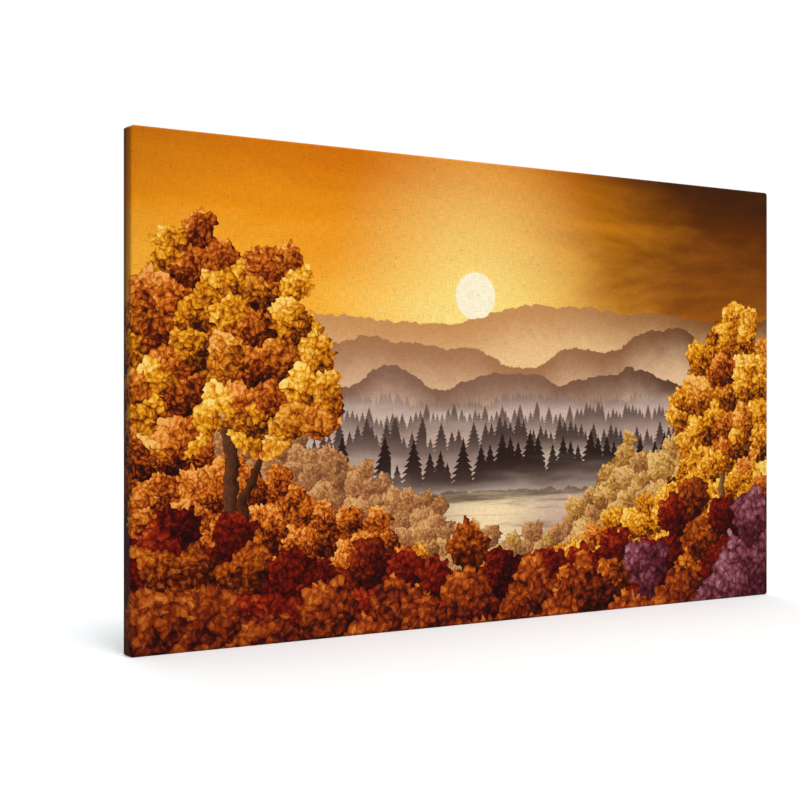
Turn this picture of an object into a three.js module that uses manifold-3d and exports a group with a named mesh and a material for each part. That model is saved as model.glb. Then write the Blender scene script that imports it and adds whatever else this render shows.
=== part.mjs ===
// A picture printed on canvas, stretched over a pine frame and stapled behind, 1000 x 600 mm.
//
// Millimetres, +Z up. The print faces -Y and +X is to its right. The origin is under the middle
// of the upright picture, level with its lowest edge and half way through its depth.
//
// Each side of the picture is built in a frame of its own, in a group that is turned and placed:
// X runs along the side, Y runs from front to back, and Z points outwards, with Z = 0 at the
// picture's outer edge. "In" is a distance from that edge towards the middle of the picture.

import * as THREE from "three";
import { mergeVertices } from "three/addons/utils/BufferGeometryUtils.js";
import Module from "manifold-3d";

const manifold = await Module();
manifold.setup();

// Driving dimensions

const WIDTH = 1000;
const HEIGHT = 600;

const CLOTH = 0.6; // thickness of the printed canvas
const GAP = 0.3; // clearance between pieces that lie on each other
const EDGE_RADIUS = 3; // of the canvas as it turns from the front to a side
const BACK_RADIUS = 1.5; // of the canvas as it turns from a side to the back
const FRONT_LAP = 12; // how far the turned edge reaches over the front
const SIDE_FLAP = 27; // canvas turned over the back on the left, the right and the bottom
const TOP_FLAP = 34;

const FOLD_INSET = 2; // from the picture's outline to the folded corner
const FOLD_LENGTH = 42; // of the folded corner's inner edge
const FOLD_RADIUS = 6;

const BAR_WIDTH = 45;
const BAR_DEPTH = 22;
const BAR_ROUND = 2.4; // on the outer edge under the canvas
const BAR_EASE = 1; // chamfer on the other edges
const FRAME_CORNER = 3; // rounding of the frame's four corners, seen from the front
const BEAD_WIDTH = 9; // raised rim that the canvas bears on
const BEAD_HEIGHT = 3.5;
const BEAD_SLOPE = 4;
const MITRE_GAP = 0.2; // taken off each end, along the bar

const BRACE_WIDTH = 40;
const BRACE_DEPTH = 13;
const HOUSING = 6; // how far the brace is let into the bars
const BRACE_STAPLE_IN = 1; // from the end of the housing to the staple over the joint

const CROWN = 12; // length of a staple's back
const LEG = 8;
const WIRE_WIDTH = 1.2;
const WIRE_THICKNESS = 0.5;
const WIRE_BEND = 0.3; // chamfer where a staple's leg turns
const SEAT = 0.1; // under a staple's crown
const HOLE_GAP = 0.3; // round a staple's leg

const STAPLE_IN = 17; // from the edge to the row of staples
const STAPLE_DRIFT = 2; // how far a staple in a row strays along it
const ROW_TILT = 4; // largest tilt of a staple in a row, in degrees
const CORNER_TILT = 5;
const LOWEST_STAPLE = 36; // up the left and right sides
const HIGHEST_STAPLE = 475;
const END_STAPLE = 110; // from the ends of the top and bottom
const LONG_ROW = { count: 9, first: END_STAPLE, last: WIDTH - END_STAPLE };
const LEFT_ROW = { count: 6, first: LOWEST_STAPLE, last: HIGHEST_STAPLE };
const RIGHT_ROW = { count: 6, first: HEIGHT - HIGHEST_STAPLE, last: HEIGHT - LOWEST_STAPLE };
const CORNER_STAPLES = [
  { along: 16, up: 10 },
  { along: 31, up: 17 },
  { along: 42, up: 10 },
]; // from the corner, and outwards from the flap's edge

const ARC_STEPS = 5; // straight steps in each quarter circle

// Depths that follow, from front to back

const TOTAL_DEPTH = 3 * (CLOTH + GAP) + BAR_DEPTH + SEAT + WIRE_THICKNESS;
const FRONT = -TOTAL_DEPTH / 2;
const BAR_FRONT = FRONT + CLOTH + GAP;
const BAR_BACK = BAR_FRONT + BAR_DEPTH;
const FLAP_BACK = BAR_BACK + GAP + CLOTH;
const FOLD_BACK = FLAP_BACK + GAP + CLOTH;
const BAR_IN = CLOTH + GAP; // from the picture's edge to the bar
const BAR_INNER = BAR_IN + BAR_WIDTH;

// Turning geometries into solids and back, to join and cut them

function toSolid(geometry) {
  const bare = geometry.index ? geometry.toNonIndexed() : geometry.clone();
  bare.deleteAttribute("normal");
  bare.deleteAttribute("uv");
  const merged = mergeVertices(bare, 1e-4);
  return new manifold.Manifold(
    new manifold.Mesh({
      numProp: 3,
      vertProperties: Float32Array.from(merged.attributes.position.array),
      triVerts: Uint32Array.from(merged.index.array),
    }),
  );
}

function toGeometry(solid) {
  const mesh = solid.getMesh();
  const geometry = new THREE.BufferGeometry();
  geometry.setAttribute("position", new THREE.BufferAttribute(mesh.vertProperties, 3));
  geometry.setIndex(new THREE.BufferAttribute(mesh.triVerts, 1));
  const faceted = geometry.toNonIndexed();
  faceted.computeVertexNormals();
  return faceted;
}

// Two ways of making a prism in a side's frame

/** Runs a section along the side. The section's x is the distance in, and its y the depth. */
function prismAlong(section, length) {
  const options = { depth: length, bevelEnabled: false, curveSegments: ARC_STEPS };
  const geometry = new THREE.ExtrudeGeometry(section, options);
  return geometry.translate(0, 0, -length / 2).rotateY(Math.PI / 2);
}

/** Runs an outline, drawn in x and z, through the depth from one y to another. */
function prismThrough(outline, from, to) {
  const options = { depth: to - from, bevelEnabled: false, curveSegments: ARC_STEPS };
  const geometry = new THREE.ExtrudeGeometry(outline, options);
  return geometry.rotateX(Math.PI / 2).translate(0, to, 0);
}

function polygon(points) {
  return new THREE.Shape(points.map(([x, y]) => new THREE.Vector2(x, y)));
}

/** Cuts a strip's ends at 45 degrees as far in as `mitre`, and square from there on. */
function mitred(section, length, mitre) {
  const half = length / 2 - MITRE_GAP;
  const beyond = -2 * mitre;
  const outline = polygon([
    [half, 0],
    [-half, 0],
    [mitre - half, -mitre],
    [mitre - half, beyond],
    [half - mitre, beyond],
    [half - mitre, -mitre],
  ]);
  const cutter = toSolid(prismThrough(outline, -TOTAL_DEPTH, TOTAL_DEPTH));
  return toSolid(prismAlong(section, length)).intersect(cutter);
}

/** Rounds the frame's outer corners at the two ends of a bar. */
function roundedEnds(bar, length) {
  const half = length / 2 - BAR_IN;
  const middle = half - FRAME_CORNER;
  const low = -BAR_IN - FRAME_CORNER;
  const shape = new THREE.Shape();
  shape.moveTo(half, -2 * BAR_INNER);
  shape.lineTo(half, low);
  shape.absarc(middle, low, FRAME_CORNER, 0, 0.5 * Math.PI, false);
  shape.lineTo(middle, 0);
  shape.lineTo(-middle, 0);
  shape.lineTo(-middle, -BAR_IN);
  shape.absarc(-middle, low, FRAME_CORNER, 0.5 * Math.PI, Math.PI, false);
  shape.lineTo(-half, -2 * BAR_INNER);
  return bar.intersect(toSolid(prismThrough(shape, -TOTAL_DEPTH, TOTAL_DEPTH)));
}

// Sections

/** The bar: a rim in front for the canvas to bear on, and eased edges. */
function barSection() {
  const beadEnd = BAR_IN + BEAD_WIDTH;
  const fieldFront = BAR_FRONT + BEAD_HEIGHT;
  const shape = new THREE.Shape();
  shape.moveTo(BAR_IN, BAR_BACK - BAR_EASE);
  shape.lineTo(BAR_IN, BAR_FRONT + BAR_ROUND);
  shape.absarc(BAR_IN + BAR_ROUND, BAR_FRONT + BAR_ROUND, BAR_ROUND, Math.PI, 1.5 * Math.PI, false);
  shape.lineTo(beadEnd, BAR_FRONT);
  shape.lineTo(beadEnd + BEAD_SLOPE, fieldFront);
  shape.lineTo(BAR_INNER - BAR_EASE, fieldFront);
  shape.lineTo(BAR_INNER, fieldFront + BAR_EASE);
  shape.lineTo(BAR_INNER, BAR_BACK - BAR_EASE);
  shape.lineTo(BAR_INNER - BAR_EASE, BAR_BACK);
  shape.lineTo(BAR_IN + BAR_EASE, BAR_BACK);
  return shape;
}

/** The canvas turned round a bar: over the front, down the side and over the back. */
function wrapSection(flap) {
  const shape = new THREE.Shape();
  const outer = FLAP_BACK - BACK_RADIUS;
  shape.moveTo(FRONT_LAP, FRONT);
  shape.lineTo(EDGE_RADIUS, FRONT);
  shape.absarc(EDGE_RADIUS, FRONT + EDGE_RADIUS, EDGE_RADIUS, 1.5 * Math.PI, Math.PI, true);
  shape.lineTo(0, outer);
  shape.absarc(BACK_RADIUS, outer, BACK_RADIUS, Math.PI, 0.5 * Math.PI, true);
  shape.lineTo(flap, FLAP_BACK);
  shape.lineTo(flap, FLAP_BACK - CLOTH);
  shape.absarc(BACK_RADIUS, outer, BACK_RADIUS - CLOTH, 0.5 * Math.PI, Math.PI, false);
  shape.lineTo(CLOTH, FRONT + EDGE_RADIUS);
  shape.absarc(EDGE_RADIUS, FRONT + EDGE_RADIUS, EDGE_RADIUS - CLOTH, Math.PI, 1.5 * Math.PI, false);
  shape.lineTo(FRONT_LAP, FRONT + CLOTH);
  return shape;
}

// Staples

/** A staple with its crown along X, its back facing +Y and the top of its crown at y = 0. */
function stapleGeometry() {
  const half = CROWN / 2;
  const inner = half - WIRE_THICKNESS;
  const outline = polygon([
    [-half, -LEG],
    [-inner, -LEG],
    [-inner, -WIRE_THICKNESS],
    [inner, -WIRE_THICKNESS],
    [inner, -LEG],
    [half, -LEG],
    [half, -WIRE_BEND],
    [half - WIRE_BEND, 0],
    [WIRE_BEND - half, 0],
    [-half, -WIRE_BEND],
  ]);
  const options = { depth: WIRE_WIDTH, bevelEnabled: false };
  return new THREE.ExtrudeGeometry(outline, options).translate(0, 0, -WIRE_WIDTH / 2);
}

/** The two holes that a staple's legs make, open above the crown. */
function stapleHoles() {
  const across = WIRE_THICKNESS + 2 * HOLE_GAP;
  const deep = 2 * LEG;
  const middle = CROWN / 2 - WIRE_THICKNESS / 2;
  const hole = new THREE.BoxGeometry(across, deep, WIRE_WIDTH + 2 * HOLE_GAP);
  const legs = [-middle, middle].map((x) => toSolid(hole.clone().translate(x, -HOLE_GAP, 0)));
  return legs[0].add(legs[1]);
}

/** A repeatable irregularity between -1 and 1, as hand stapling leaves: a sine in wide steps. */
function waver(index) {
  const step = 2.4;
  const start = 0.7;
  return Math.sin(step * index + start);
}

/**
 * Places in a row along one side: along, in, the level they lie on, and their tilt. Their
 * irregularities are taken a few steps apart, so that they don't go together.
 */
function rowPlaces(length, { count, first, last }) {
  const pitch = (last - first) / (count - 1);
  return Array.from({ length: count }, (_, i) => ({
    along: first + i * pitch - length / 2 + STAPLE_DRIFT * waver(i),
    inwards: STAPLE_IN + waver(i + 3),
    level: FLAP_BACK,
    tilt: THREE.MathUtils.degToRad(ROW_TILT * waver(i + 5)),
  }));
}

/** Places on the folded corners at the two ends of a long side. */
function cornerPlaces(flap) {
  return [-1, 1].flatMap((end) =>
    CORNER_STAPLES.map((corner, i) => ({
      along: end * (WIDTH / 2 - corner.along),
      inwards: flap - corner.up,
      level: FOLD_BACK,
      tilt: THREE.MathUtils.degToRad(CORNER_TILT * end * waver(i + 2)),
    })),
  );
}

/** The place across the joint of a long bar and the brace. */
const BRACE_PLACE = {
  along: 0,
  inwards: BAR_INNER - HOUSING + BRACE_STAPLE_IN,
  level: BAR_BACK,
  tilt: Math.PI / 2,
};

function placeMatrix(place) {
  const matrix = new THREE.Matrix4().makeRotationY(place.tilt);
  return matrix.setPosition(place.along, place.level + SEAT + WIRE_THICKNESS, -place.inwards);
}

// The four sides

const SIDES = [
  {
    name: "top",
    length: WIDTH,
    flap: TOP_FLAP,
    places: [...rowPlaces(WIDTH, LONG_ROW), ...cornerPlaces(TOP_FLAP), BRACE_PLACE],
    turn: 0,
    position: [0, 0, HEIGHT],
  },
  {
    name: "bottom",
    length: WIDTH,
    flap: SIDE_FLAP,
    places: [...rowPlaces(WIDTH, LONG_ROW), ...cornerPlaces(SIDE_FLAP), BRACE_PLACE],
    turn: Math.PI,
    position: [0, 0, 0],
  },
  {
    name: "right",
    length: HEIGHT,
    flap: SIDE_FLAP,
    places: rowPlaces(HEIGHT, RIGHT_ROW),
    turn: Math.PI / 2,
    position: [WIDTH / 2, 0, HEIGHT / 2],
  },
  {
    name: "left",
    length: HEIGHT,
    flap: SIDE_FLAP,
    places: rowPlaces(HEIGHT, LEFT_ROW),
    turn: -Math.PI / 2,
    position: [-WIDTH / 2, 0, HEIGHT / 2],
  },
];

function sideMatrix({ turn, position }) {
  return new THREE.Matrix4().makeRotationY(turn).setPosition(...position);
}

/** The holes of every staple, in the picture's frame: those near a corner pass through two bars. */
const STAPLE_HOLES = manifold.Manifold.union(
  SIDES.flatMap((side) =>
    side.places.map((place) => {
      const matrix = sideMatrix(side).multiply(placeMatrix(place));
      return stapleHoles().transform(matrix.elements);
    }),
  ),
);

// Pieces

const PINE = { color: 0xd9c8a0, roughness: 0.62, metalness: 0 };
const PRINTED_CANVAS = { color: 0xb4651c, roughness: 0.72, metalness: 0 };
const STEEL = { color: 0x5d5a58, roughness: 0.38, metalness: 0.9 };

function piece(name, geometry, finish) {
  const mesh = new THREE.Mesh(geometry, new THREE.MeshStandardMaterial(finish));
  mesh.name = name;
  return mesh;
}

/** A folded corner of canvas, lying on the flaps: `end` is -1 or 1 for the side's two ends. */
function cornerFold(name, length, flap, end) {
  const at = (along, inwards) => [end * (length / 2 - along), -inwards];
  const shape = new THREE.Shape();
  shape.moveTo(...at(FOLD_INSET, FOLD_INSET));
  shape.lineTo(...at(FOLD_INSET, flap - FOLD_RADIUS));
  shape.quadraticCurveTo(...at(FOLD_INSET, flap), ...at(FOLD_INSET + FOLD_RADIUS, flap));
  shape.lineTo(...at(FOLD_LENGTH, flap));
  shape.lineTo(...at(FOLD_LENGTH + flap - FOLD_INSET, FOLD_INSET));
  return { name, solid: toSolid(prismThrough(shape, FOLD_BACK - CLOTH, FOLD_BACK)) };
}

/** The slot in a long bar's inner edge that the brace is let into. */
function housingCutter() {
  const reach = BRACE_WIDTH / 2 + GAP;
  const outline = polygon([
    [-reach, HOUSING - BAR_INNER],
    [-reach, -2 * BAR_INNER],
    [reach, -2 * BAR_INNER],
    [reach, HOUSING - BAR_INNER],
  ]);
  return toSolid(prismThrough(outline, -TOTAL_DEPTH, TOTAL_DEPTH));
}

/** One side's bar, turned canvas and staples, in the side's own frame. */
function makeSide(side) {
  const { name, length, flap, places } = side;
  const group = new THREE.Group();
  group.rotation.y = side.turn;
  group.position.set(...side.position);

  let bar = roundedEnds(mitred(barSection(), length, BAR_INNER), length);
  const cloth = [{ name: `canvas_edge_${name}`, solid: mitred(wrapSection(flap), length, SIDE_FLAP) }];
  if (length === WIDTH) {
    bar = bar.subtract(housingCutter());
    cloth.push(cornerFold(`canvas_fold_${name}_1`, length, flap, -1));
    cloth.push(cornerFold(`canvas_fold_${name}_2`, length, flap, 1));
  }

  const holes = STAPLE_HOLES.transform(sideMatrix(side).invert().elements);
  group.add(piece(`bar_${name}`, toGeometry(bar.subtract(holes)), PINE));
  for (const part of cloth) {
    group.add(piece(part.name, toGeometry(part.solid.subtract(holes)), PRINTED_CANVAS));
  }
  for (const [i, place] of places.entries()) {
    const staple = piece(`staple_${name}_${i + 1}`, stapleGeometry(), STEEL);
    staple.applyMatrix4(placeMatrix(place));
    group.add(staple);
  }
  return group;
}

/** The brace, upright behind the middle of the canvas and flush with the backs of the bars. */
function makeBrace() {
  const half = BRACE_WIDTH / 2;
  const length = HEIGHT - 2 * (BAR_INNER - HOUSING + GAP);
  const section = polygon([
    [-half, BAR_EASE],
    [BAR_EASE - half, 0],
    [half - BAR_EASE, 0],
    [half, BAR_EASE],
    [half, BRACE_DEPTH - BAR_EASE],
    [half - BAR_EASE, BRACE_DEPTH],
    [BAR_EASE - half, BRACE_DEPTH],
    [-half, BRACE_DEPTH - BAR_EASE],
  ]);
  const geometry = new THREE.ExtrudeGeometry(section, { depth: length, bevelEnabled: false });
  geometry.translate(0, BAR_BACK - BRACE_DEPTH, (HEIGHT - length) / 2);
  return piece("brace", toGeometry(toSolid(geometry).subtract(STAPLE_HOLES)), PINE);
}

function makeFrontCanvas() {
  const margin = 2 * (FRONT_LAP + GAP);
  const sheet = new THREE.BoxGeometry(WIDTH - margin, CLOTH, HEIGHT - margin);
  sheet.translate(0, FRONT + CLOTH / 2, HEIGHT / 2);
  return piece("canvas_front", sheet, PRINTED_CANVAS);
}

const picture = new THREE.Group();
picture.add(makeFrontCanvas(), makeBrace(), ...SIDES.map(makeSide));

export default picture;
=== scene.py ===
"""A picture printed on cotton canvas and stretched over a pine frame, standing on a pale floor.

The picture's face looks along -Y, X runs across it and Z up it. Everything is in metres.
"""

import math

import bpy
import numpy as np
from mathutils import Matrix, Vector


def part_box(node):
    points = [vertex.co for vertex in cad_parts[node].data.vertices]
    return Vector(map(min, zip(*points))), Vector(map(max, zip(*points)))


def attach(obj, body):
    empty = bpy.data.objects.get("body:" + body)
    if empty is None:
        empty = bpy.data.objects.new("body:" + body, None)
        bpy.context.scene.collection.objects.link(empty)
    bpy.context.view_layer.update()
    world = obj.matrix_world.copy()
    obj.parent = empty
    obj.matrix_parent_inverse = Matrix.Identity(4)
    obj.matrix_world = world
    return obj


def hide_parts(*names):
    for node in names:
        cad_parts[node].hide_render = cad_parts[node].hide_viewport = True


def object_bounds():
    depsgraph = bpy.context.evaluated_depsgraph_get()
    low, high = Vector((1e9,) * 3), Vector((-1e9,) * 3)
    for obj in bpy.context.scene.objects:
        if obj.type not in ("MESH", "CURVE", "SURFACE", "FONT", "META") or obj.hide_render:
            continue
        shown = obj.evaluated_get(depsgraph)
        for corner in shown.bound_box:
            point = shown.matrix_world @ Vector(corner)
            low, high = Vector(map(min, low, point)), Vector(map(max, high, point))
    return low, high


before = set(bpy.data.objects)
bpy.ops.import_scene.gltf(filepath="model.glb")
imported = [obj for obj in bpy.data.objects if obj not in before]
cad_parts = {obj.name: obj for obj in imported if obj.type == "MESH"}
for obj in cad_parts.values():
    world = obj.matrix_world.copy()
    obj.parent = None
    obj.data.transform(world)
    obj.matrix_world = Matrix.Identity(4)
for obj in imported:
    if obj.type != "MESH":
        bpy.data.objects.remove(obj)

MM = 0.001
cad_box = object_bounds()
HIGH = cad_box[1]
HALF_WIDTH = HIGH.x
HALF_HEIGHT = HIGH.z / 2

# The canvas as it is wrapped round the bars

FACE_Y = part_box("canvas_front")[0].y
BACK_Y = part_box("canvas_edge_left")[1].y
FOLD_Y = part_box("canvas_fold_top_1")[1].y
CLOTH = 0.4 * MM  # thickness
FACE_ROUND = 3 * MM  # where the face turns into the sides
BACK_ROUND = 1.5 * MM  # where the sides turn over the back
CORNER_FRONT = 5 * MM  # rounding of the four corners, seen from the front, by the face
CORNER_BACK = 2.5 * MM  # and by the back, where the folds fill them out
FLAP_TOP = 34 * MM  # from the outline to the cut edge
FLAP_REST = 27 * MM
FOLD_IN = 2 * MM  # the folded ends stop short of the outline
FOLD_CORNER = 6 * MM
TUCK_START = 8 * MM  # width of the tuck at the outline, widening by 1 for each 1 inwards
TUCK_SLOPE = 4 * MM
RUN_BACK = np.array([1.0, 2.5, 5.0, 8.0]) * MM  # rows of a folded end that run back under it
RISE = 7 * MM  # from the outline in, over which a flap climbs on to its tucks
UNDER_FOLD = 40 * MM  # how much of a side flap's end lies under the fold
LAYER = (FOLD_Y - BACK_Y) / 2  # depth that one layer of cloth takes up behind the bars
STAPLE_LINE = 17 * MM  # from the outline to the staples
CUT_SWAY = 0.6 * MM  # how far a cut edge wanders
SLACK = 0.2 * MM  # how far the face swells and sinks
GAPE = 1.3 * MM  # of a folded end, at its cut edge
GAPE_LENGTH = 9 * MM
GAPE_IN = 14 * MM  # from the outline to where it gapes most

# How finely the cloth is divided

CELL = 25 * MM
NEAR_END = 52 * MM  # length with finer cells at each end of a row
NEAR_CELLS = 21
FIRST_ROWS = 3 * MM  # length of a flap with finer rows, from the outline in
ROUND_STEPS = 7  # points round a quarter circle
WELD = 0.001 * MM  # points closer than this are one
RIM_CELL = 6 * MM  # the cut edge's square on the map that keeps the colours
SHARP_ANGLE = 55  # degrees between two faces whose shared edge is sharp

# What the finishes repeat

THREAD = 1.5 * MM  # pitch of the weave's pattern
YEAR_RING = 3.4 * MM  # spacing of the pine's year rings
FINGER = 3.2 * MM  # width of a slope of the finger joint's zigzag


def smooth(x):
    """0 below 0, 1 above 1, and x*x*(3 - 2x) between."""
    x = np.clip(x, 0.0, 1.0)
    return x * x * (3.0 - 2.0 * x)


def sway(x, seed, pitch):
    """A smooth random line from -1 to 1: three sine waves of unlike length, phases from the seed."""
    phase = np.random.default_rng(seed).uniform(0.0, 2.0 * np.pi, 3)
    turn = 2.0 * np.pi * x / pitch
    return (
        np.sin(turn + phase[0])
        + 0.6 * np.sin(2.3 * turn + phase[1])
        + 0.35 * np.sin(5.1 * turn + phase[2])
    ) / 1.95


def stations(half):
    """Places from -half to half: one cell apart, and near both ends closing up.

    The distance from the end grows there as the 1.5th power of the count.
    """
    near = NEAR_END * (np.arange(NEAR_CELLS + 1) / NEAR_CELLS) ** 1.5
    inner = half - near[-1]
    middle = np.linspace(-inner, inner, 2 * round(inner / CELL) + 1)
    return np.concatenate([near[:-1] - half, middle, half - near[-2::-1]])


class Patch:
    """A grid of points with its place on the flat cloth and its thickness."""

    def __init__(self, across, out, depth, flat_across, flat_out, side, thickness=CLOTH):
        """across and out are measured in the side's own plane, from the middle of the picture."""
        grid = np.broadcast_arrays(across, out, depth, flat_across, flat_out, thickness)
        across, out, depth, flat_across, flat_out, thickness = grid
        cos, sin = side["turn"]
        self.points = np.stack(
            [across * cos + out * sin, depth, out * cos - across * sin + HALF_HEIGHT], axis=-1
        )
        self.cloth = np.stack(
            [flat_across * cos + flat_out * sin, flat_out * cos - flat_across * sin + HALF_HEIGHT],
            axis=-1,
        )
        self.flat = np.stack([flat_across, flat_out], axis=-1)
        self.thickness = thickness


SIDES = {
    "top": dict(turn=(1, 0), run=HALF_WIDTH, reach=HALF_HEIGHT, flap=FLAP_TOP, over=True),
    "right": dict(turn=(0, 1), run=HALF_HEIGHT, reach=HALF_WIDTH, flap=FLAP_REST, over=False),
    "bottom": dict(turn=(-1, 0), run=HALF_WIDTH, reach=HALF_HEIGHT, flap=FLAP_REST, over=True),
    "left": dict(turn=(0, -1), run=HALF_HEIGHT, reach=HALF_WIDTH, flap=FLAP_REST, over=False),
}


def side_profile():
    """The section of a side: a quarter circle by the face, a straight and a smaller quarter circle.

    Returns how far each point is inside the outline, its depth, how far along the cloth it is, and
    the corner's radius there. The radius shrinks evenly from the face to the back, and to nothing
    where the section turns on to either.
    """
    turn = np.linspace(0.0, np.pi / 2, ROUND_STEPS)
    drop = np.linspace(FACE_Y + FACE_ROUND, BACK_Y - BACK_ROUND, 6)[1:-1]
    back = np.linspace(0.0, np.pi / 2, 5)
    inset = np.concatenate(
        [FACE_ROUND * (1 - np.sin(turn)), 0 * drop, BACK_ROUND * (1 - np.cos(back))]
    )
    depth = np.concatenate(
        [FACE_Y + FACE_ROUND * (1 - np.cos(turn)), drop, BACK_Y - BACK_ROUND * (1 - np.sin(back))]
    )
    steps = np.hypot(np.diff(inset), np.diff(depth))
    along = np.concatenate([[0.0], np.cumsum(steps)])
    limit = np.where(depth < 0, FACE_ROUND, BACK_ROUND)
    radius = np.interp(depth, (FACE_Y, BACK_Y), (CORNER_FRONT, CORNER_BACK)) * (1 - inset / limit)
    return inset, depth, along, radius


INSET, DEPTH, ALONG, RADIUS = (line[:, None] for line in side_profile())


def face_patch():
    """The face, inside the rounding: flat but for a little slack that fades at its edges."""
    across, up = stations(HALF_WIDTH - FACE_ROUND), stations(HALF_HEIGHT - FACE_ROUND)[:, None]
    edge = np.minimum(across[-1] - abs(across), up[-1] - abs(up))
    slack = SLACK * smooth(edge / (80 * MM))
    slack = slack * sway(across + 0.4 * up, 3, 0.5) * sway(up - 0.3 * across, 4, 0.4)
    return Patch(across, up, FACE_Y + slack, across, up, SIDES["top"])


def side_patch(side):
    """A side: the section carried along the straight part of the outline."""
    places = stations(side["run"] - FACE_ROUND)
    straight = side["run"] - INSET - RADIUS
    across = places / places[-1] * straight
    return Patch(
        across, side["reach"] - INSET, DEPTH, places, side["reach"] - FACE_ROUND + ALONG, side
    )


def corner_patch(side):
    """The corner after a side: the section carried round a quarter circle of its own radius."""
    turn = np.linspace(0.0, np.pi / 2, ROUND_STEPS)
    across = side["run"] - INSET - RADIUS * (1 - np.sin(turn))
    out = side["reach"] - INSET - RADIUS * (1 - np.cos(turn))
    flat_across = side["run"] - FACE_ROUND + ALONG * np.sin(turn)
    flat_out = side["reach"] - FACE_ROUND + ALONG * np.cos(turn)
    return Patch(across, out, DEPTH, flat_across, flat_out, side)


def rows_in(length):
    """Steps from the outline in, as shares of a flap's length: close at the start, then even."""
    first = FIRST_ROWS / length
    start = first * (np.arange(5) / 5) ** 1.4
    return np.concatenate([start, np.linspace(first, 1.0, 15)])[:, None]


def lifted(inwards, across, seed, most):
    """How far a flap stands off past its staples: the distance squared, times a random line."""
    past = np.clip((inwards - STAPLE_LINE) / (10 * MM), 0.0, 1.7)
    return most * past * past * (0.45 + 0.55 * sway(across, seed, 0.31))


def flap_under(side, seed, most):
    """A left or right flap: straight in over the bar, and one layer lower under the folds."""
    half = side["run"] - BACK_ROUND
    across = stations(side["run"] - FACE_ROUND) * half / (side["run"] - FACE_ROUND)
    length = side["flap"] - BACK_ROUND + CUT_SWAY * sway(across, seed, 0.2)
    inwards = length * rows_in(side["flap"] - BACK_ROUND)
    under = smooth((abs(across) - (half - UNDER_FOLD)) / (5 * MM))
    sunk = LAYER * under * smooth(inwards / (0.8 * MM))
    depth = BACK_Y - sunk + lifted(inwards, across, seed, most) * (1 - under)
    flat = side["reach"] - FACE_ROUND + ALONG[-1] + inwards
    return Patch(across, side["reach"] - BACK_ROUND - inwards, depth, across, flat, side)


def flap_over(side, seed, most):
    """A top or bottom flap with its two folded ends.

    It turns in over the bar and rises two layers over the tucks, whose inner edge slants. At each end
    it bends back under itself in a half circle and runs in again below. Near its cut edge each end
    gapes from the flap below: by the square of the distance past the start of the gape, and by a
    smooth hump across the end.
    """
    half = side["run"] - BACK_ROUND
    end = side["run"] - FOLD_IN
    across = stations(side["run"] - FACE_ROUND) * half / (side["run"] - FACE_ROUND)
    bend = np.linspace(0.0, np.pi, 9)[1:]
    turn = np.concatenate([bend, np.full(RUN_BACK.size, np.pi)])
    back = np.concatenate([0 * bend, RUN_BACK])
    column = np.concatenate([-across[-1] + 0 * turn, across, across[-1] + 0 * turn])
    turn = np.concatenate([turn[::-1], 0 * across, turn])
    back = np.concatenate([back[::-1], 0 * across, back])

    share = rows_in(side["flap"] - BACK_ROUND)
    rounding = np.clip(FOLD_CORNER - (half - abs(column)), 0.0, FOLD_CORNER)
    cut = FOLD_CORNER - np.sqrt(FOLD_CORNER**2 - rounding**2)
    length = side["flap"] - BACK_ROUND - cut + CUT_SWAY * sway(column, seed, 0.2) * (turn == 0)
    inwards = length * share
    rise = smooth(inwards / RISE)
    radius = LAYER * rise
    reach = half + (end - half) * smooth(inwards / (2 * MM))
    width = TUCK_START + inwards
    tucked = smooth((abs(column) - (end - width)) / TUCK_SLOPE)
    raised = 2 * LAYER * tucked * rise
    lift = lifted(inwards, column, seed, most) * np.where(tucked > 0, 0.6, 1.0)
    hump = smooth(1.0 - abs(half - abs(column) - GAPE_IN) / GAPE_IN)
    lift = lift + GAPE * hump * np.clip(1.0 - (length - inwards) / GAPE_LENGTH, 0.0, 1.0) ** 2
    top = BACK_Y + raised + lift
    place = column / half * (reach - radius)
    place = place + np.sign(column) * (radius * np.sin(turn) - back * rise)
    depth = top - radius * (1 - np.cos(turn))
    around = LAYER * turn + back
    flat_across = column + np.sign(column) * around
    flat_out = side["reach"] - FACE_ROUND + ALONG[-1] + inwards
    thickness = np.where(turn > 0, np.clip(0.85 * radius, 0.01 * MM, CLOTH), CLOTH)
    out = side["reach"] - BACK_ROUND - inwards
    return Patch(place, out, depth, flat_across, flat_out, side, thickness)


def shelved(sizes, left, bottom, width, gap=4 * MM):
    """Sets rectangles on shelves, from left to right and upwards.

    Returns their lower left corners and the top of the last shelf.
    """
    places, x, y, tall = [], left, bottom, 0.0
    for wide, high in sizes:
        if x + wide > left + width + 1e-9:
            x, y, tall = left, y + tall + gap, 0.0
        places.append((x, y))
        x, tall = x + wide + gap, max(tall, high)
    return places, y + tall + gap


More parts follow.
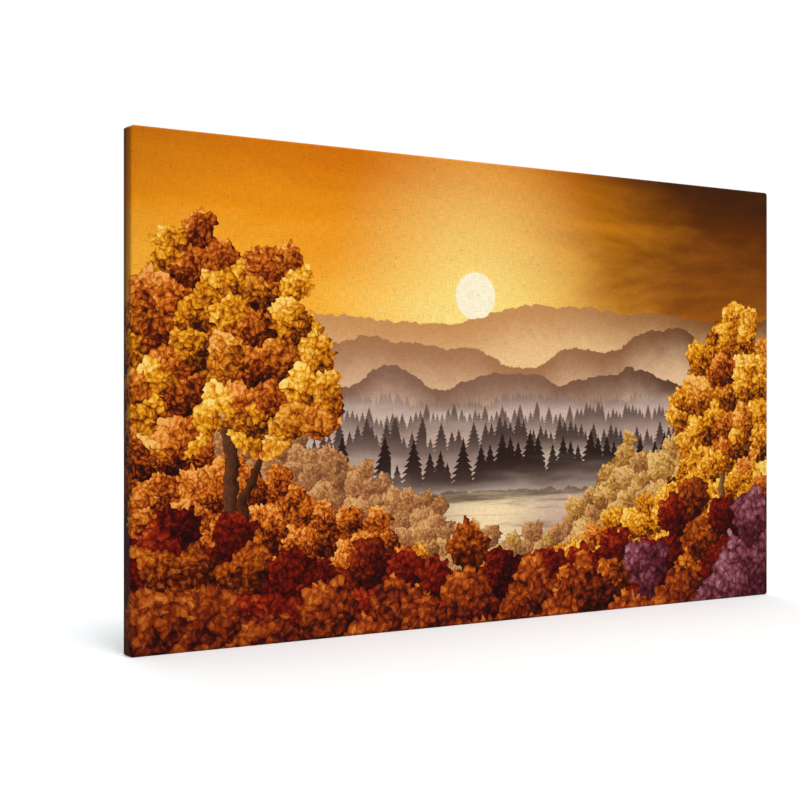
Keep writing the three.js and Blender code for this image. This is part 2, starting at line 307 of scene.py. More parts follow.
def colour_map(patches):
    """Where each patch's two faces lie on the square that keeps the canvas's colours.

    The printed ones are at nearly full size and the bare ones under a third of it, none over another.
    The whole rim shares one small square.
    """
    fine, plain, margin = 0.968, 0.28, 3 * MM
    size = [np.ptp(patch.flat.reshape(-1, 2), axis=0) for patch in patches]
    long = [k for k, (wide, high) in enumerate(size) if wide > 0.1]
    small = [k for k in range(len(patches)) if k not in long]
    outer, inner = {}, {}
    places, top = shelved([fine * size[k] for k in long], margin, margin, 1.0 - 2 * margin)
    outer.update(zip(long, places))
    inner[0] = (margin, top)
    beside = 8 * MM + plain * size[0][0]
    places, shelf = shelved([fine * size[k] for k in small], beside, top, 0.6)
    outer.update(zip(small, places))
    places, last = shelved([plain * size[k] for k in range(1, len(patches))], beside, shelf, 0.66)
    inner.update(zip(range(1, len(patches)), places))
    low = [patch.flat.reshape(-1, 2).min(axis=0) for patch in patches]
    printed = [fine * (patch.flat - low[k]) + outer[k] for k, patch in enumerate(patches)]
    bare = [plain * (patch.flat - low[k]) + inner[k] for k, patch in enumerate(patches)]
    corner = np.array([0.985, max(last, top + plain * size[0][1]) - 0.01])
    rim = corner + np.array([[0, 0], [RIM_CELL, 0], [RIM_CELL, RIM_CELL], [0, RIM_CELL]])
    return printed, bare, rim


def closed_cloth(name, patches, materials):
    """One closed sheet from the patches.

    Points that meet are joined. The second face lies one thickness inside the first, against the
    joined face's own direction at each point, and a rim joins the two along every cut edge.
    """
    printed, bare, rim_place = colour_map(patches)
    points = np.concatenate([patch.points.reshape(-1, 3) for patch in patches])
    cloth = np.concatenate([patch.cloth.reshape(-1, 2) for patch in patches])
    thickness = np.concatenate([patch.thickness.ravel() for patch in patches])
    printed = np.concatenate([place.reshape(-1, 2) for place in printed])
    bare = np.concatenate([place.reshape(-1, 2) for place in bare])
    starts = np.cumsum([0] + [patch.thickness.size for patch in patches])
    corner = np.concatenate(
        [start + grid_corners(*patch.thickness.shape) for start, patch in zip(starts, patches)]
    )

    _, first, joined = np.unique(
        np.round(points / WELD).astype(np.int64), axis=0, return_index=True, return_inverse=True
    )
    joined = joined.ravel()
    place, count = points[first], len(first)
    kept = joined[corner] != joined[np.roll(corner, -1, axis=1)]
    kept &= (kept.sum(axis=1) > 2)[:, None]
    across = place[joined[corner[:, 2]]] - place[joined[corner[:, 0]]]
    along = place[joined[corner[:, 3]]] - place[joined[corner[:, 1]]]
    facing = np.zeros((count, 3))
    np.add.at(facing, joined[corner], np.cross(across, along)[:, None, :])
    facing /= np.maximum(np.linalg.norm(facing, axis=1, keepdims=True), 1e-20)
    deep = np.full(count, CLOTH)
    np.minimum.at(deep, joined, thickness)

    size = kept.sum(axis=1)
    size = size[size > 0]
    outer = corner[kept]
    begin = np.cumsum(size) - size
    step = np.arange(outer.size) - np.repeat(begin, size)
    after = np.repeat(begin, size) + (step + 1) % np.repeat(size, size)
    inner = outer[np.repeat(begin, size) + np.repeat(size, size) - 1 - step]
    start, end = joined[outer], joined[outer[after]]
    cut = ~np.isin(start * count + end, end * count + start)
    start, end = start[cut], end[cut]
    rim = np.stack([end, start, start + count, end + count], axis=1).ravel()
    rim_map = np.tile(rim_place, (start.size, 1))

    vertex = np.concatenate([joined[outer], joined[inner] + count, rim])
    total = np.concatenate([size, size, np.full(start.size, 4)])
    slot = np.repeat([0, 1, 2], [size.size, size.size, start.size])
    mesh = bpy.data.meshes.new(name)
    mesh.vertices.add(2 * count)
    mesh.vertices.foreach_set("co", np.concatenate([place, place - facing * deep[:, None]]).ravel())
    mesh.loops.add(vertex.size)
    mesh.loops.foreach_set("vertex_index", vertex.astype(np.int32))
    mesh.polygons.add(total.size)
    mesh.polygons.foreach_set("loop_start", (np.cumsum(total) - total).astype(np.int32))
    mesh.polygons.foreach_set("material_index", slot.astype(np.int32))
    mesh.polygons.foreach_set("use_smooth", np.ones(total.size, bool))
    mesh.update(calc_edges=True)
    maps = {
        "Cloth": np.concatenate([cloth[outer], cloth[inner], cloth[first[rim % count]]]),
        "OFBake": np.concatenate([printed[outer], bare[inner], rim_map]),
    }
    for label, values in maps.items():
        mesh.uv_layers.new(name=label).uv.foreach_set("vector", values.astype(np.float32).ravel())
    mesh.uv_layers.active = mesh.uv_layers["Cloth"]
    mesh.uv_layers["Cloth"].active_render = True
    for material in materials:
        mesh.materials.append(material)
    mesh.validate()
    mesh.set_sharp_from_angle(angle=math.radians(SHARP_ANGLE))
    sheet = bpy.data.objects.new(name, mesh)
    bpy.context.collection.objects.link(sheet)
    return sheet


def grid_corners(rows, columns):
    """The four corners of every cell of a grid, in turn round the cell."""
    index = np.arange(rows * columns).reshape(rows, columns)
    around = [index[:-1, :-1], index[:-1, 1:], index[1:, 1:], index[1:, :-1]]
    return np.stack(around, axis=-1).reshape(-1, 4)


# Finishes


def tint(code):
    """A colour written as six hex digits, turned into the linear values that shaders take."""
    value = np.array([int(code[k : k + 2], 16) for k in (0, 2, 4)]) / 255
    linear = np.where(value <= 0.04045, value / 12.92, ((value + 0.055) / 1.055) ** 2.4)
    return (*linear.tolist(), 1.0)


class Value:
    """A node's output that can be added, multiplied and compared like a number."""

    def __init__(self, finish, socket):
        self.finish, self.socket = finish, socket

    def with_(self, operation, *others):
        return self.finish.maths(operation, self, *others)

    def __add__(self, other):
        return self.with_("ADD", other)

    def __sub__(self, other):
        return self.with_("SUBTRACT", other)

    def __mul__(self, other):
        return self.with_("MULTIPLY", other)

    def __truediv__(self, other):
        return self.with_("DIVIDE", other)

    def __rsub__(self, other):
        return self.finish.maths("SUBTRACT", other, self)

    def __lt__(self, other):
        return self.with_("LESS_THAN", other)

    def __gt__(self, other):
        return self.with_("GREATER_THAN", other)

    __radd__, __rmul__ = __add__, __mul__


class Finish:
    """A material and the nodes that make its pattern."""

    def __init__(self, name, roughness=0.7, metallic=0.0, specular=0.5):
        self.material = bpy.data.materials.new(name)
        self.material.use_nodes = True
        self.tree = self.material.node_tree
        self.shader = self.tree.nodes["Principled BSDF"]
        self.shader.inputs["Roughness"].default_value = roughness
        self.shader.inputs["Metallic"].default_value = metallic
        self.shader.inputs["Specular IOR Level"].default_value = specular

    def feed(self, socket, value):
        if isinstance(value, Value):
            self.tree.links.new(value.socket, socket)
        elif value is not None:
            if socket.type == "RGBA" and isinstance(value, str):
                value = tint(value)
            socket.default_value = value

    def node(self, kind, **settings):
        made = self.tree.nodes.new("ShaderNode" + kind)
        for key, value in settings.items():
            setattr(made, key, value)
        return made

    def maths(self, operation, *values, clamp=False):
        made = self.node("Math", operation=operation, use_clamp=clamp)
        for socket, value in zip(made.inputs, values):
            self.feed(socket, value)
        return Value(self, made.outputs[0])

    def vector(self, operation, *values):
        made = self.node("VectorMath", operation=operation)
        for socket, value in zip(made.inputs, values):
            self.feed(socket, value)
        return Value(self, made.outputs[operation in ("DOT_PRODUCT", "DISTANCE", "LENGTH")])

    def step(self, value, low, high, bottom=0.0, top=1.0):
        """bottom up to low, top from high, and smooth between."""
        made = self.node("MapRange", interpolation_type="SMOOTHSTEP")
        for socket, given in zip(made.inputs, (value, low, high, bottom, top)):
            self.feed(socket, given)
        return Value(self, made.outputs[0])

    def within(self, value):
        return self.maths("ADD", value, 0.0, clamp=True)

    def mix(self, share, first, second, way="MIX"):
        made = self.node("Mix", data_type="RGBA", blend_type=way, clamp_factor=True)
        for k, given in ((0, share), (6, first), (7, second)):
            self.feed(made.inputs[k], given)
        return Value(self, made.outputs[2])

    def ramp(self, share, *stops):
        """A colour for each share: stops are pairs of a place from 0 to 1 and a colour."""
        made = self.node("ValToRGB")
        line = made.color_ramp
        line.elements[0].position, line.elements[-1].position = stops[0][0], stops[-1][0]
        line.elements[0].color, line.elements[-1].color = tint(stops[0][1]), tint(stops[-1][1])
        for place, code in stops[1:-1]:
            line.elements.new(place).color = tint(code)
        self.feed(made.inputs[0], share)
        return Value(self, made.outputs[0])

    def place(self, source="Object"):
        """The surface's own coordinates: Object, or the name of one of its maps."""
        if source == "Object":
            return Value(self, self.node("TexCoord").outputs["Object"])
        return Value(self, self.node("UVMap", uv_map=source).outputs[0])

    def parts(self, vector):
        made = self.node("SeparateXYZ")
        self.feed(made.inputs[0], vector)
        return [Value(self, socket) for socket in made.outputs]

    def join(self, x=0.0, y=0.0, z=0.0):
        made = self.node("CombineXYZ")
        for socket, value in zip(made.inputs, (x, y, z)):
            self.feed(socket, value)
        return Value(self, made.outputs[0])

    def noise(self, place, scale, detail=3.0, rough=0.5, size="3D", twist=0.0, output=0):
        made = self.node("TexNoise", noise_dimensions=size)
        self.feed(made.inputs["W" if size == "1D" else "Vector"], place)
        given = {"Scale": scale, "Detail": detail, "Roughness": rough, "Distortion": twist}
        for key, value in given.items():
            made.inputs[key].default_value = value
        return Value(self, made.outputs[output])

    def cells(self, place, scale, size="2D", loose=1.0, nearest="F1"):
        """A cell pattern: the distance from a cell's middle, three random values and the middle.

        nearest is F1 for the nearest middle and F2 for the second nearest.
        """
        made = self.node("TexVoronoi", voronoi_dimensions=size, feature=nearest)
        self.feed(made.inputs["W" if size == "1D" else "Vector"], place)
        made.inputs["Scale"].default_value = scale
        made.inputs["Randomness"].default_value = loose
        random = self.parts(Value(self, made.outputs["Color"]))
        middle = made.outputs["W" if size == "1D" else "Position"]
        return Value(self, made.outputs["Distance"]), random, Value(self, middle)

    def bump(self, height, distance, strength=1.0):
        made = self.node("Bump")
        made.inputs["Strength"].default_value = strength
        made.inputs["Distance"].default_value = distance
        self.feed(made.inputs["Height"], height)
        self.feed(self.shader.inputs["Normal"], Value(self, made.outputs[0]))

    def colour(self, value):
        self.feed(self.shader.inputs["Base Color"], value)

    def roughness(self, value):
        self.feed(self.shader.inputs["Roughness"], value)


# The printed picture: wooded hills round a lake on a misty autumn morning


def ridge(f, x, middle, rise, scale, shift):
    """A hill line over x: a middle height and a rise times a noise of one dimension."""
    return f.noise(x + shift, scale, 2.0, 0.5, "1D") * (2 * rise) + (middle - rise)


def hazy_hill(f, under, z, line, top, foot, fade):
    """A far hill below its line, from its top colour to the mist's at its foot."""
    depth = line - z
    return f.mix(f.step(depth, 0.0, 1.5 * MM), under, f.mix(f.step(depth, 0.0, fade), top, foot))


def firs(f, under, x, z, line, pitch, tall, top, foot):
    """A row of firs, each widening downwards from a top of random height, in steps like tiers.

    The nearest two firs are drawn at each place, so none is cut off where the next begins. The row
    fades into mist below its line.
    """
    inside = None
    for nearest in ("F1", "F2"):
        away, random, _ = f.cells(x, 1 / pitch, "1D", 0.9, nearest)
        below = line + (random[0] * 0.7 + 0.3) * tall - z
        tier = f.maths("FRACT", below / (0.13 * tall) + random[1] * 3.0)
        fir = away < below * (tier * 0.55 + 0.65) * (0.36 / pitch)
        inside = fir if inside is None else f.maths("MAXIMUM", inside, fir)
    tone = f.mix(f.step(line + tall - z, 0.5 * tall, 1.8 * tall), top, foot)
    return f.mix(inside, under, tone)


def foliage(f, under, place, leaf, clump, inside, tones, choose, light=1.0):
    """Leaves painted over what lies under them.

    Each leaf is a cell of a fine pattern, and belongs to the clump of a coarse pattern that its
    middle lies in. It is lit as a ball of that clump's size would be from the upper left, with clumps
    and broad patches of unlike brightness. It shows if inside() holds for the clump's middle, or for
    a point over half a clump above the leaf. A pale rib runs through its middle at a random angle,
    and one half of the leaf is darker than the other.
    """
    away, random, middle = f.cells(place, 1 / leaf)
    reach, chance, heart = f.cells(middle, 1 / clump)
    shows = inside(heart) * (reach < 0.56)
    shows = f.maths("MAXIMUM", shows, inside(f.vector("ADD", middle, (0.0, 0.6 * clump, 0.0))))
    tilt = (-0.24 * light / clump, 0.42 * light / clump, 0.0)
    lit = f.vector("DOT_PRODUCT", f.vector("SUBTRACT", middle, heart), tilt)
    lit = lit + (chance[0] - 0.5) * (0.22 * light)
    lit = lit + (f.noise(middle, 0.9 / clump, 2.0, 0.6, "2D") - 0.5) * (0.5 * light)
    spin = random[2] * (2.0 * math.pi)
    along = f.join(f.maths("COSINE", spin), f.maths("SINE", spin))
    across = f.vector("DOT_PRODUCT", f.vector("SUBTRACT", place, middle), along) / leaf
    rib = f.step(f.maths("ABSOLUTE", across), 0.12, 0.02, 0.0, 0.1)
    rib = rib + f.step(across, -0.05, 0.05, -0.07, 0.07)
    shade = lit + random[0] * (0.36 * light) - away * away * (0.42 * light)
    shade = shade + rib * light + 0.40 * light
    first, second = (f.ramp(shade, *tone) for tone in tones)
    return f.mix(shows, under, f.mix(choose(heart, chance[1]), first, second))


def crown(f, *discs):
    """Whether a point lies in any of some discs, each given by its middle and radius."""

    def inside(point):
        depths = [radius - f.vector("DISTANCE", point, (x, z, 0.0)) for x, z, radius in discs]
        deepest = depths[0]
        for depth in depths[1:]:
            deepest = f.maths("MAXIMUM", deepest, depth)
        return deepest > 0.0

    return inside


def trunk(f, under, x, z, foot, head, lean, wide, narrow, dark, bright):
    """A tree trunk: a line that leans and sways, tapering from foot to head, brighter on its left."""
    up = f.within((z - foot[1]) / (head - foot[1]))
    middle = up * lean + foot[0] + (f.noise(z, 14.0, 2.0, 0.5, "1D") - 0.5) * 0.03
    across = (x - middle) / (up * (narrow - wide) + wide)
    on = (across * across < 1.0) * (z < head)
    bark = f.noise(f.join(x * 6.0, z), 90.0, 2.0, 0.6, "2D")
    return f.mix(on, under, f.mix(f.within(0.05 - across * 0.45 + bark), dark, bright))


AMBER_SKY = ((0.05, "FFD27A"), (0.3, "FBB53C"), (0.6, "EE9414"), (1.0, "CF6E06"))
OLIVE_SKY = ((0.05, "D9862C"), (0.3, "9A5410"), (0.65, "5E2C04"), (1.0, "3E1E06"))
RUST = ((0.05, "1C0703"), (0.32, "5A1A05"), (0.55, "A5480C"), (0.8, "DE7A1E"), (1.0, "F5AA55"))
GOLD = ((0.05, "2E1004"), (0.3, "8A3E06"), (0.52, "D07A0C"), (0.75, "F3AC22"), (1.0, "FFDB78"))
WINE = ((0.05, "120303"), (0.35, "3C0805"), (0.6, "701407"), (0.85, "A3300F"), (1.0, "D0602A"))
DUSK = ((0.05, "140402"), (0.3, "43100A"), (0.55, "8A300A"), (0.8, "C4601A"), (1.0, "EE9A3C"))
MAUVE = ((0.05, "24080C"), (0.4, "5C2028"), (0.65, "8C4A54"), (0.9, "B87C82"), (1.0, "D8A8A4"))
FAR_RUST = ((0.1, "6E4028"), (0.5, "A56A3C"), (0.9, "D9A066"))
FAR_GOLD = ((0.1, "7A4A20"), (0.5, "C28A3C"), (0.9, "EBC076"))


def autumn_picture(f):
    """The printed colours, from back to front, and the place on the flat cloth they are read at.

    Sky, far hills, firs in the mist, lake, wooded slopes, two near trees and the bushes at the bottom.
    """
    flat = f.place("Cloth")
    ruffle = f.noise(flat, 55.0, 2.0, 0.6, "2D", output=1)
    place = f.vector("MULTIPLY_ADD", ruffle, (0.013, 0.013, 0.0), flat)
    place = f.vector("SUBTRACT", place, (0.0065, 0.0065, 0.0))
    x0, z0 = f.parts(flat)[:2]
    x, z = f.parts(place)[:2]

    # Sky: amber on the left, dark olive brown at the upper right, lit round a low sun
    cloud = f.noise(f.join(x0 * 2.2, z0 * 9.0), 1.0, 4.0, 0.6, "2D", 0.3) - 0.5
    height = (z0 - 0.3) * 3.0
    bright = f.ramp(height + cloud * 0.5, *AMBER_SKY)
    dark = f.ramp(height + cloud * 0.9, *OLIVE_SKY)
    paint = f.mix(f.step(x0 + cloud * 0.25, -0.04, 0.36), bright, dark)
    away = f.vector("DISTANCE", flat, (-0.03, 0.425, 0.0))
    paint = f.mix(f.step(away, 0.25, 0.0, 0.0, 0.75), paint, "FFD884", "SCREEN")
    paint = f.mix(f.step(away, 0.033, 0.029), paint, "FFF3D0")

    # Hills in the haze, darker to the right
    shade = f.step(x0, 0.0, 0.45)
    for k, (middle, rise, scale, top, dim, foot) in enumerate((
        (0.405, 0.045, 2.6, "C98F58", "7A4A26", "F0C48C"),
        (0.360, 0.055, 4.0, "A8744E", "5E3820", "E6BC92"),
        (0.318, 0.040, 6.0, "86604C", "4A2C20", "DDB79A"),
    )):
        line = ridge(f, x, middle, rise, scale, 3.1 * k)
        paint = hazy_hill(f, paint, z, line, f.mix(shade, top, dim), foot, 0.08)

    # Firs standing in the mist
    mist = (f.noise(f.join(x0 * 3.0, z0 * 16.0), 1.4, 3.0, 0.5, "2D") - 0.5) * 0.09
    for k, (middle, pitch, tall, top, foot) in enumerate((
        (0.282, 5.5 * MM, 20 * MM, "8E7468", "C9AE9E"),
        (0.258, 7 * MM, 30 * MM, "6E5850", "B99C8E"),
        (0.228, 10 * MM, 42 * MM, "4C3A34", "9C8074"),
        (0.192, 15 * MM, 60 * MM, "2A1B17", "6A5048"),
    )):
        line = ridge(f, x0, middle, 0.018, 6.0, 7.7 * k)
        paint = firs(f, paint, x0 + 0.37 * k, z0, line, pitch, tall, top, foot)
        low = f.step(z0 + mist, middle + 0.012, middle - 0.045, 0.0, 0.6)
        paint = f.mix(low, paint, "E6CFBC")

    # The lake, with the light standing in it
    ripple = f.noise(f.join(x0 * 9.0, z0 * 120.0), 1.0, 3.0, 0.6, "2D")
    lake = f.mix(f.step(z0, 0.172, 0.072), "D9BBA0", "B08A78")
    gleam = f.step(f.maths("ABSOLUTE", ripple * 0.05 + (x0 - 0.015)), 0.11, 0.0, 0.0, 0.85)
    lake = f.mix(gleam, lake, "FFE3B0")
    lake = f.mix(f.step(ripple, 0.52, 0.75, 0.0, 0.45), lake, "6E5048")
    lake = f.mix(f.step(z0 + ripple * 0.03, 0.163, 0.187, 0.0, 0.8), lake, "3E2A22")
    paint = f.mix(z < 0.172, paint, lake)

    # Wooded slopes coming down to the water from both sides
    def slopes(low, shift):
        def inside(point):
            px, pz = f.parts(point)[:2]
            down = f.maths("MAXIMUM", px * -0.46 - 0.025, px * 0.56 - 0.055)
            return down + ridge(f, px, low, 0.04, 9.0, shift) > pz

        return inside

    def by_side(point, chance):
        return f.step(f.parts(point)[0] + chance * 0.5, 0.15, 0.45)

    far, near = (FAR_RUST, FAR_GOLD), (RUST, GOLD)
    paint = foliage(f, paint, place, 3.6 * MM, 22 * MM, slopes(0.145, 1.3), far, by_side)
    paint = foliage(f, paint, place, 4.4 * MM, 34 * MM, slopes(0.085, 5.9), near, by_side)

    # A rust-coloured tree on the left and a golden one on the right
    def by_chance(low, high):
        return lambda point, chance: f.step(chance, low, high)

    paint = trunk(f, paint, x, z, (-0.37, 0.0), 0.36, -0.01, 13 * MM, 6 * MM, "160705", "6A3A20")
    paint = trunk(f, paint, x, z, (-0.36, 0.17), 0.34, 0.075, 7 * MM, 3 * MM, "1A0805", "5A2E16")
    tree = crown(
        f, (-0.42, 0.445, 0.065), (-0.345, 0.43, 0.06), (-0.465, 0.375, 0.065), (-0.385, 0.365, 0.07),
        (-0.30, 0.365, 0.06), (-0.445, 0.30, 0.055), (-0.335, 0.295, 0.05), (-0.265, 0.305, 0.04),
    )
    paint = foliage(f, paint, place, 5.6 * MM, 40 * MM, tree, near, by_chance(0.35, 0.75))
    paint = trunk(f, paint, x, z, (0.40, 0.0), 0.34, 0.015, 8 * MM, 4 * MM, "1A0A05", "9A6A40")
    tree = crown(
        f, (0.425, 0.385, 0.05), (0.465, 0.325, 0.06), (0.385, 0.32, 0.055), (0.43, 0.255, 0.055),
        (0.355, 0.265, 0.04),
    )
    paint = foliage(f, paint, place, 5.2 * MM, 36 * MM, tree, near, by_chance(0.0, 0.5))

    # Bushes at the bottom: wine red, rust, and mauve towards the right
    def bottom(low, shift):
        def inside(point):
            px, pz = f.parts(point)[:2]
            return px * px * 0.28 + ridge(f, px, low, 0.03, 6.0, shift) > pz

        return inside

    def mauve_right(point, chance):
        return f.step(f.parts(point)[0] + chance * 0.3, 0.42, 0.5)

    red, low = (WINE, RUST), (DUSK, MAUVE)
    some = by_chance(0.55, 0.75)
    paint = foliage(f, paint, place, 6.6 * MM, 56 * MM, bottom(0.105, 2.2), red, some, 0.85)
    paint = foliage(f, paint, place, 8.5 * MM, 72 * MM, bottom(0.05, 8.4), low, mauve_right, 0.85)

    # The corners are a little darker than the middle
    out = f.vector("MULTIPLY_ADD", flat, (1.25, 1.7, 0.0), (0.0, -0.544, 0.0))
    shade = f.step(f.vector("DOT_PRODUCT", out, out), 0.25, 0.95, 0.0, 0.45)
    return f.mix(shade, paint, "2A0D04", "MULTIPLY"), flat


def weave(f, across, up, pitch):
    """Plain weave, its threads over and under each other: two sine waves' product, from 0 to 1."""
    turn = 2.0 * math.pi / pitch
    warp = f.maths("SINE", across * turn)
    weft = f.maths("SINE", up * turn)
    return warp * weft * 0.5 + 0.5


def yarns(f, x, z, along, across, detail):
    """Uneven yarns both ways: two noises, each drawn out along its yarns, added up."""
    weft = f.noise(f.join(x * along, z * across), 1.0, detail, 0.6, "2D")
    return weft + f.noise(f.join(x * across, z * along), 1.0, detail, 0.6, "2D")


def printed_canvas():
    """Ink on cotton: the picture, broken by the weave, uneven yarns and a few dark seed specks.

    Painted shade darkens the sides towards the back, the left and right ones most. A short slanting
    crease runs down the left and right sides from each folded corner, dented by the bump and darkened
    with painted shade.
    """
    f = Finish("printed canvas", 0.75, specular=0.04)
    paint, flat = autumn_picture(f)
    x, z = f.parts(flat)[:2]
    yarn = yarns(f, x, z, 90.0, 700.0, 2.0)
    paint = f.mix(f.within(1.22 - yarn) * 0.34, paint, "3A2418", "MULTIPLY")
    away, random, _ = f.cells(flat, 70.0)
    speck = (away < random[1] * 0.065) * (random[0] < 0.45)
    paint = f.mix(speck * 0.42, paint, "2A1408")
    # Painted shade: the sides darken towards the back, the left and right ones most, top and bottom
    # about a third as much.
    side_x = f.maths("ABSOLUTE", x) - (HALF_WIDTH - FACE_ROUND)
    side_z = f.maths("ABSOLUTE", z - HALF_HEIGHT) - (HALF_HEIGHT - FACE_ROUND)
    turned = f.maths("MAXIMUM", side_x - 3 * MM, side_z)
    on_side = f.step(turned, -3 * MM, 2 * MM) * f.step(turned, 26 * MM, 22 * MM)
    upright = f.step(side_x - side_z, -6 * MM, 6 * MM, 0.35, 1.0)
    painted_side_shade = on_side * upright * f.step(turned, 1 * MM, 23 * MM, 0.08, 0.9)
    paint = f.mix(painted_side_shade, paint, "4A3020", "MULTIPLY")
    # A short crease down each side from a folded corner: the bump dents it, and painted shade darkens
    # it.
    round_side, up = side_x - 19 * MM, side_z + 13 * MM
    crease_and_painted_shade = f.step(f.maths("ABSOLUTE", round_side + up * 0.4), 1.1 * MM, 0.1 * MM)
    crease_and_painted_shade = crease_and_painted_shade * f.step(f.maths("ABSOLUTE", up), 9 * MM, 3 * MM)
    f.colour(f.mix(crease_and_painted_shade * 0.5, paint, "1C0E06"))
    f.roughness(f.within(yarn * 0.22 + 0.48))
    f.bump(weave(f, x, z, THREAD) + yarn * 1.2 - crease_and_painted_shade * 4.0, 0.16 * MM, 0.8)
    return f.material


def bare_canvas(name="bare canvas", light="F1F0F5", dark="E0DFE6"):
    """The cotton's unprinted back: white, with the weave and a few thicker yarns."""
    f = Finish(name, 0.85, specular=0.2)
    x, z = f.parts(f.place("Cloth"))[:2]
    yarn = yarns(f, x, z, 60.0, 600.0, 3.0)
    cloud = f.noise(f.join(x, z), 6.0, 2.0, 0.5, "2D")
    f.colour(f.mix(f.within((yarn - 0.75) * 1.3 + (cloud - 0.5) * 0.5), light, dark))
    f.roughness(f.within(yarn * 0.15 + 0.72))
    f.bump(weave(f, x, z, THREAD) + yarn, 0.18 * MM, 0.9)
    return f.material


def pine(name, grain, heart, light, dark, joint=None, knots=(), turn=0.0):
    """Planed pine sawn along the grain axis, x or z.

    The year rings are circles round a heart line that wanders along the bar; their spacing varies,
    knots push them aside, and fine fibres run along the grain. joint is the height of a finger joint,
    below which the wood is a browner piece, whose darkest ring crosses the bar near its foot. A dark
    line of painted shade, for the mitre's gap, stands in the mitres, as far in from one outer edge as
    from the other.
    """
    f = Finish(name, 0.6, specular=0.3)
    x, y, z = f.parts(f.place())
    along, wide = (x, z) if grain == "x" else (z, x)
    shift = turn
    below = None
    if joint is not None:
        line = joint + f.maths("PINGPONG", wide, FINGER) * 3.0
        below = along < line
        shift = below * 0.37 + turn
    bend = f.noise(f.join(along * 1.6 + shift, wide * 2.0, shift), 1.0, 2.0, 0.5)
    bend_2 = f.noise(f.join(along * 9.0 + shift, wide * 9.0, shift), 1.0, 2.0, 0.5)
    across = wide - heart[0] + (bend - 0.5) * 0.045 + (bend_2 - 0.5) * 0.006
    deep = y - heart[1] + (bend - 0.5) * 0.02
    ring = f.maths("SQRT", across * across + deep * deep)
    dark_knot = None
    for place, side, size in knots:
        dx, dz = along - place, wide - side
        near = f.maths("SQRT", dx * dx * 0.45 + dz * dz) / size
        ring = ring + f.step(near, 4.0, 0.6, 0.0, size * 0.9)
        core = f.step(near, 1.0, 0.7)
        dark_knot = core if dark_knot is None else f.maths("MAXIMUM", dark_knot, core)
    year = f.maths("FRACT", ring / YEAR_RING + f.noise(ring, 60.0, 1.0, 0.5, "1D") * 1.5)
    late = f.step(year, 0.35, 0.9) * f.step(year, 1.0, 0.93)
    fibre = f.noise(f.join(along * 14.0 + shift, wide * 900.0, y * 900.0), 1.0, 3.0, 0.65)
    flame = f.noise(f.join(along * 3.0 + shift, wide * 40.0, y * 40.0), 1.0, 2.0, 0.5)
    share = f.within(late * 0.42 + (fibre - 0.5) * 0.7 + (flame - 0.5) * 0.7 + 0.16)
    wood = f.mix(share, light, dark)
    if below is not None:
        browner = f.mix(share, "D9BC8E", "B58E5C")
        wood = f.mix(below, wood, browner)
        gap = f.maths("ABSOLUTE", along - line)
        wood = f.mix(f.step(gap, 0.7 * MM, 0.25 * MM, 0.0, 0.75), wood, "8A6238")
        dark_ring = f.step(along, joint - 0.145, joint - 0.19) * (21 * MM) + (HALF_WIDTH - 47 * MM)
        off_ring = f.maths("ABSOLUTE", wide - dark_ring)
        wood = f.mix(below * f.step(off_ring, 2.6 * MM, 0.4 * MM, 0.0, 0.6), wood, "8A5E32")
    if dark_knot is not None:
        wood = f.mix(dark_knot, wood, f.mix(f.within((year - 0.3) * 1.2), "9C6A3C", "5E361C"))
    # Painted shade of the mitres' gaps: a thin dark line along each mitre, as far in from one outer
    # edge as from the other.
    in_x = f.maths("ABSOLUTE", x) - HALF_WIDTH
    in_z = f.maths("ABSOLUTE", z - HALF_HEIGHT) - HALF_HEIGHT
    off_mitre = f.maths("ABSOLUTE", in_x - in_z)
    wood = f.mix(f.step(off_mitre, 1.1 * MM, 0.4 * MM, 0.0, 0.7), wood, "5A4430")
    f.colour(wood)
    f.roughness(f.within(0.52 + late * 0.12 + (fibre - 0.5) * 0.3))
    f.bump(fibre * 0.6 - late * 0.5, 0.12 * MM, 0.7)
    return f.material


def staple_wire():
    """Steel wire that has dulled to a brownish grey, more so in patches."""
    f = Finish("dulled steel wire", 0.5, metallic=1.0)
    place = f.place()
    cloud = f.noise(place, 900.0, 3.0, 0.6)
    f.colour(f.mix(f.step(cloud, 0.35, 0.7), "544C44", "2E2A27"))
    f.roughness(cloud * 0.3 + 0.4)
    f.bump(cloud, 0.03 * MM, 0.5)
    return f.material


def floor_finish():
    """Matt white board."""
    f = Finish("white floor", 1.0, specular=0.0)
    f.colour("F9FCFD")
    return f.material


# The canvas

canvas_patches = (
    [face_patch()]
    + [
        (flap_over if side["over"] else flap_under)(side, seed, most)
        for side, seed, most in (
            (SIDES["top"], 11, 0.5 * MM),
            (SIDES["bottom"], 12, 0.4 * MM),
            (SIDES["right"], 13, 0.5 * MM),
            (SIDES["left"], 14, 0.9 * MM),
        )
    ]
    + [side_patch(side) for side in SIDES.values()]
    + [corner_patch(side) for side in SIDES.values()]
)
cloth_finishes = [
    printed_canvas(),
    bare_canvas(),
    bare_canvas("cut edge", "F1EDE6", "CFC6BA"),
]
canvas = closed_cloth("canvas", canvas_patches, cloth_finishes)
wrapped = 2 * (HALF_WIDTH - FACE_ROUND + ALONG[-1, 0] - BACK_ROUND)
cut_width = wrapped + 2 * FLAP_REST
cut_height = wrapped - 2 * (HALF_WIDTH - HALF_HEIGHT) + FLAP_TOP + FLAP_REST
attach(canvas, "root")
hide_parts(*(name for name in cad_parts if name.startswith("canvas_")))

# The frame and its staples keep their shapes and take their finishes

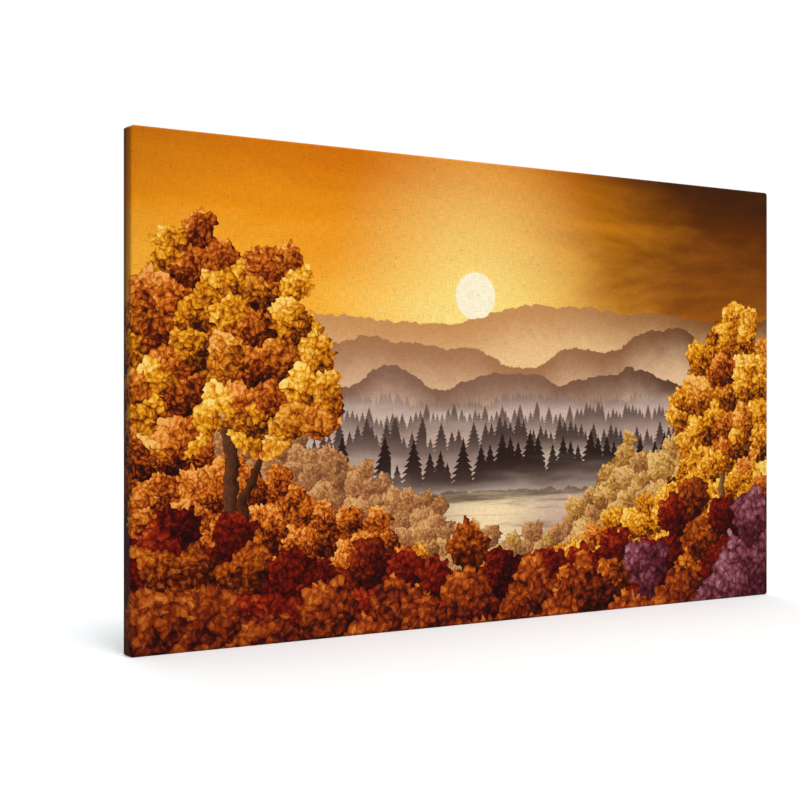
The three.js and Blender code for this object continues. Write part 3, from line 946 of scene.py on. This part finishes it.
PALE, STREAK = "E6DBB6", "C9B384"
BOTTOM_KNOT = (0.21, 0.034, 6 * MM)  # place along the bar, place across it and size
LEFT_KNOT = (0.30, -0.474, 5 * MM)
RIGHT_KNOT = (0.47, 0.466, 3.5 * MM)
bar_finishes = {
    "bar_top": pine("pine, top bar", "x", (0.60, 0.055), PALE, STREAK, turn=0.3),
    "bar_bottom": pine(
        "pine, bottom bar", "x", (-0.02, 0.05), "E8D9B4", "C8AE80", knots=(BOTTOM_KNOT,), turn=1.9
    ),
    "bar_left": pine(
        "pine, left bar", "z", (-0.50, 0.07), "E7D8B0", "C6AA78", knots=(LEFT_KNOT,), turn=5.1
    ),
    "bar_right": pine(
        "pine, right bar", "z", (0.52, 0.06), PALE, STREAK, joint=0.238, knots=(RIGHT_KNOT,), turn=3.2
    ),
    "brace": pine("pine, brace", "z", (0.03, 0.06), "EADCB8", "CDB588", turn=7.7),
}
wire = staple_wire()
for name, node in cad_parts.items():
    finish = bar_finishes.get(name, wire if name.startswith("staple_") else None)
    if finish is not None:
        node.data.materials.clear()
        node.data.materials.append(finish)

# Floor, light and camera


def floor():
    """A flat square under the picture. It throws no light back on to it."""
    mesh = bpy.data.meshes.new("floor")
    reach = 9
    corners = [(-reach, -reach, 0), (reach, -reach, 0), (reach, reach, 0), (-reach, reach, 0)]
    mesh.from_pydata(corners, [], [(0, 1, 2, 3)])
    mesh.materials.append(floor_finish())
    made = bpy.data.objects.new("floor", mesh)
    bpy.context.collection.objects.link(made)
    made.visible_diffuse = False
    return made


floor()


def soft_sun(name, azimuth, height, strength, spread):
    """Even light from a wide part of the sky.

    azimuth is turned from the front towards the right, height is above the floor, and spread is how
    wide the source looks, all in degrees.
    """
    lamp = bpy.data.lights.new(name, "SUN")
    lamp.energy, lamp.angle = strength, math.radians(spread)
    made = bpy.data.objects.new(name, lamp)
    made.rotation_euler = (math.radians(90 - height), 0, math.radians(azimuth))
    bpy.context.collection.objects.link(made)


soft_sun("high softbox", 0, 72, 1.7, 26)
soft_sun("front softbox", -2, 10, 1.9, 30)
soft_sun("high rear softbox", 160, 68, 0.70, 40)
soft_sun("low rear softbox", 165, 4, 1.2, 40)

FILL_LIGHT = 0.32  # what the white room gives from all round; to the camera it is plain white
world = bpy.data.worlds.new("white room")
bpy.context.scene.world = world
world.use_nodes = True
nodes, links = world.node_tree.nodes, world.node_tree.links
nodes["Background"].inputs[0].default_value = (1, 1, 1, 1)
nodes["Background"].inputs[1].default_value = FILL_LIGHT
seen = nodes.new("ShaderNodeBackground")
seen.inputs[0].default_value = (1, 1, 1, 1)
path = nodes.new("ShaderNodeLightPath")
either = nodes.new("ShaderNodeMath")
either.operation = "MAXIMUM"
links.new(path.outputs["Is Camera Ray"], either.inputs[0])
links.new(path.outputs["Is Glossy Ray"], either.inputs[1])
choice = nodes.new("ShaderNodeMixShader")
links.new(either.outputs[0], choice.inputs[0])
links.new(nodes["Background"].outputs[0], choice.inputs[1])
links.new(seen.outputs[0], choice.inputs[2])
links.new(choice.outputs[0], nodes["World Output"].inputs[0])

camera = bpy.data.cameras.new("camera")
camera.lens, camera.sensor_width, camera.shift_y = 63.447, 36, 0.00145
camera.clip_end = 60
stand = bpy.data.objects.new("camera", camera)
stand.location = (-1.07205, -1.52019, 0.28867)
stand.rotation_euler = (math.pi / 2, 0, math.radians(-31.586))
bpy.context.collection.objects.link(stand)
bpy.context.scene.camera = stand
bpy.context.scene.view_settings.view_transform = "Standard"
